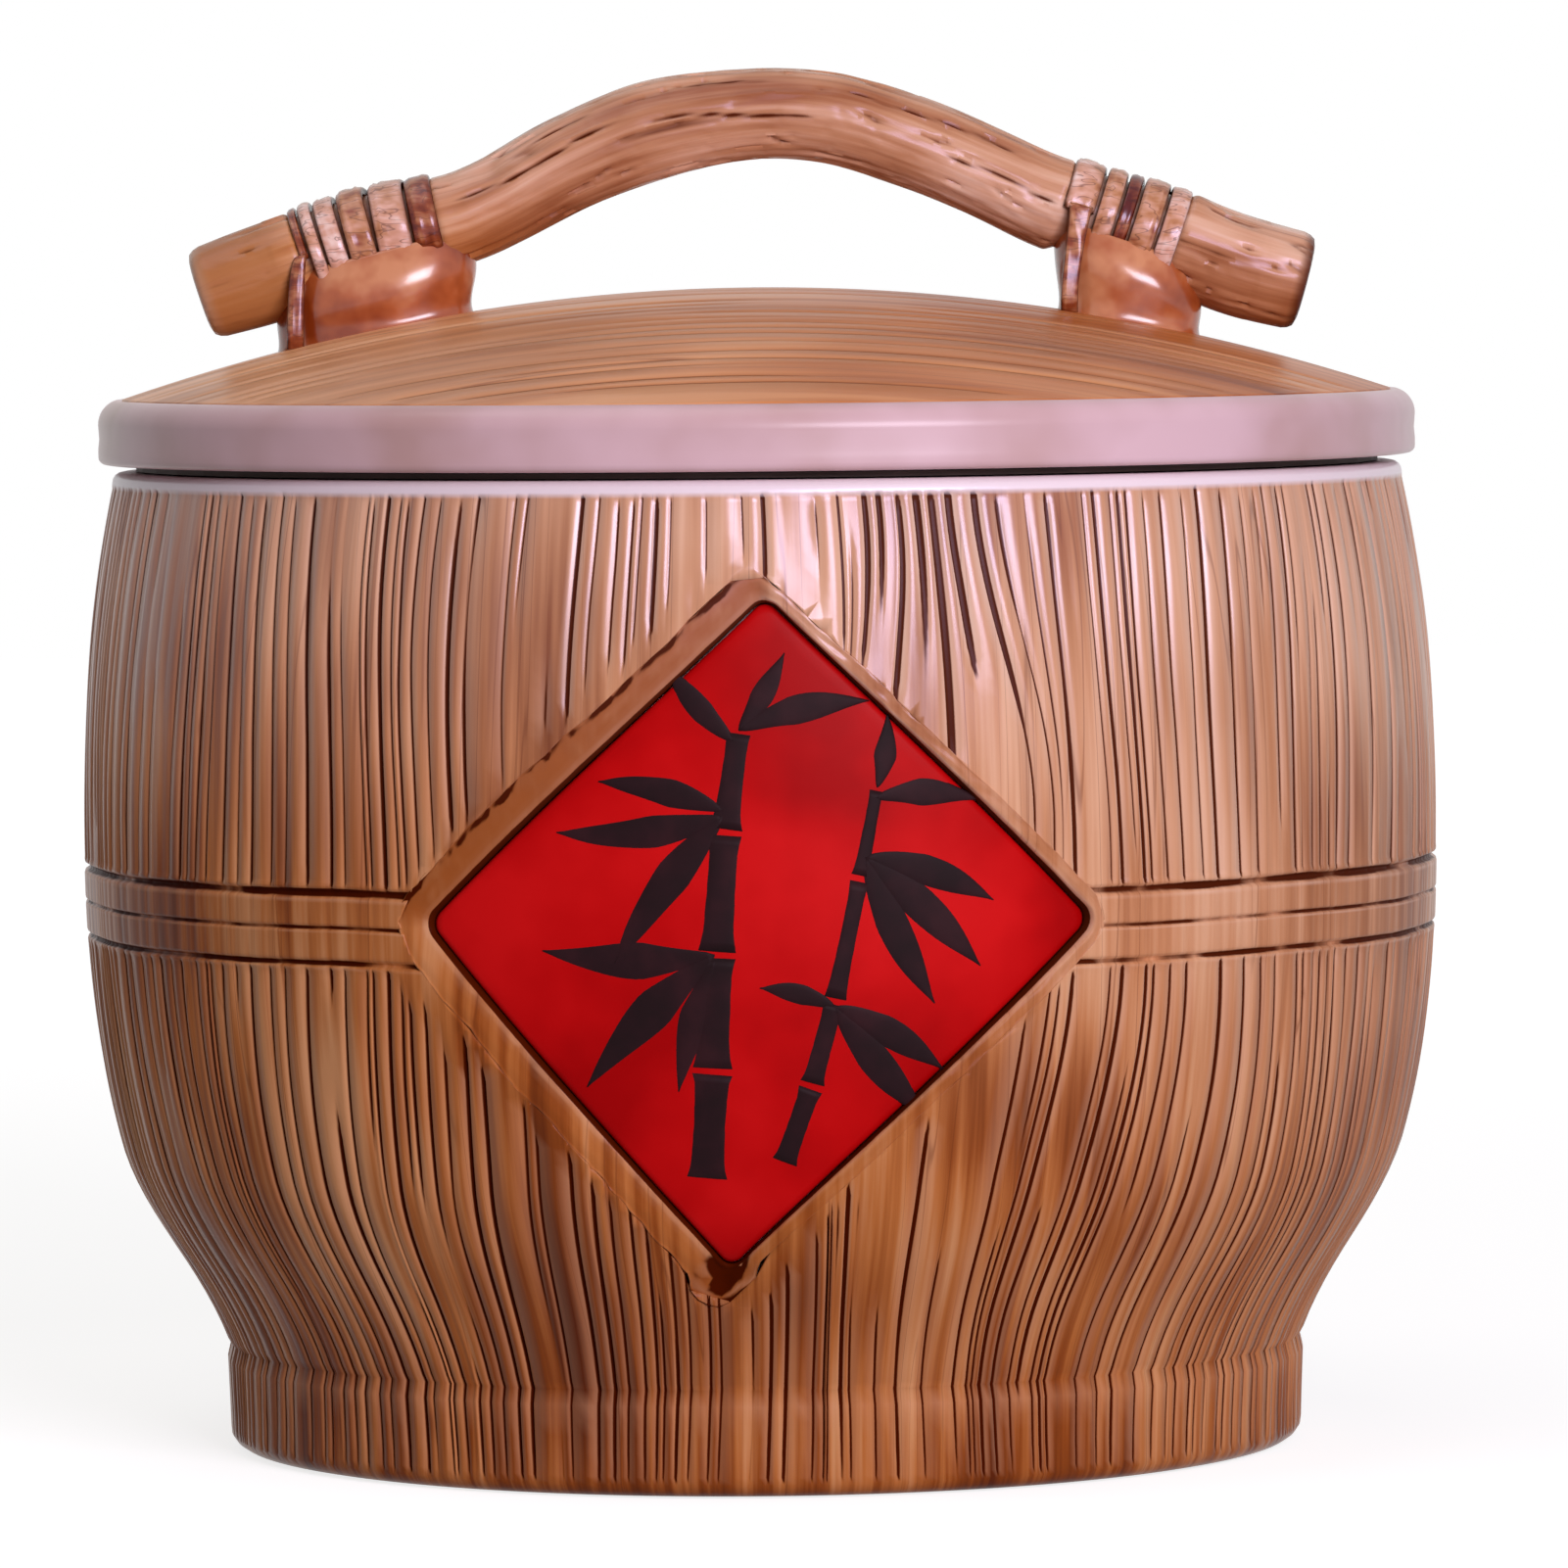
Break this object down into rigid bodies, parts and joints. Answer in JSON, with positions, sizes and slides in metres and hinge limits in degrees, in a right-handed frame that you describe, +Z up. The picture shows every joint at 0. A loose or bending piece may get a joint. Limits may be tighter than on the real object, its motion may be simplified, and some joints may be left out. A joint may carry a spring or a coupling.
{
  "type": "ceramic food storage jar",
  "caption": "Round stoneware food jar shaped like a wooden tub, with a sunk red diamond panel and a loose domed lid carried by an arched branch handle.",
  "frame": {"origin": "centre of the pot's foot, on the surface it stands on", "axes": "+Z up along the pot's axis, -Y towards the diamond panel's side, X along the handle branch"},
  "size_m": [0.27, 0.2675, 0.2733],
  "materials": {
    "carved_glaze": "brown clear glaze over carved wood grain, glossy",
    "red_glaze": "smooth glossy red glaze",
    "silicone": "soft moulded silicone, satin",
    "lid_glaze": "brown glaze over fine grain, with a smooth pale band",
    "branch_glaze": "brown glaze over carved bark",
    "lug_glaze": "thick smooth glossy brown glaze",
    "cord_glaze": "red-brown glaze over modelled cord"
  },
  "bodies": {
    "jar": {"jar_body": "carved_glaze", "diamond_plaque": "red_glaze"},
    "seal": {"lid_seal_ring": "silicone"},
    "lid": {"lid": "lid_glaze", "handle_branch": "branch_glaze", "left_lug": "lug_glaze", "right_lug": "lug_glaze", "left_binding": "cord_glaze", "right_binding": "cord_glaze"}
  },
  "joints": [
    {"name": "lid_lift", "type": "slide", "parent": "jar", "child": "seal", "axis": [0, 0, 1], "range_m": [0, 0.25]},
    {"name": "lid_turn", "type": "hinge", "parent": "seal", "child": "lid", "pos_m": [0, 0, 0.1956], "axis": [0, 0, 1], "continuous": true}
  ]
}
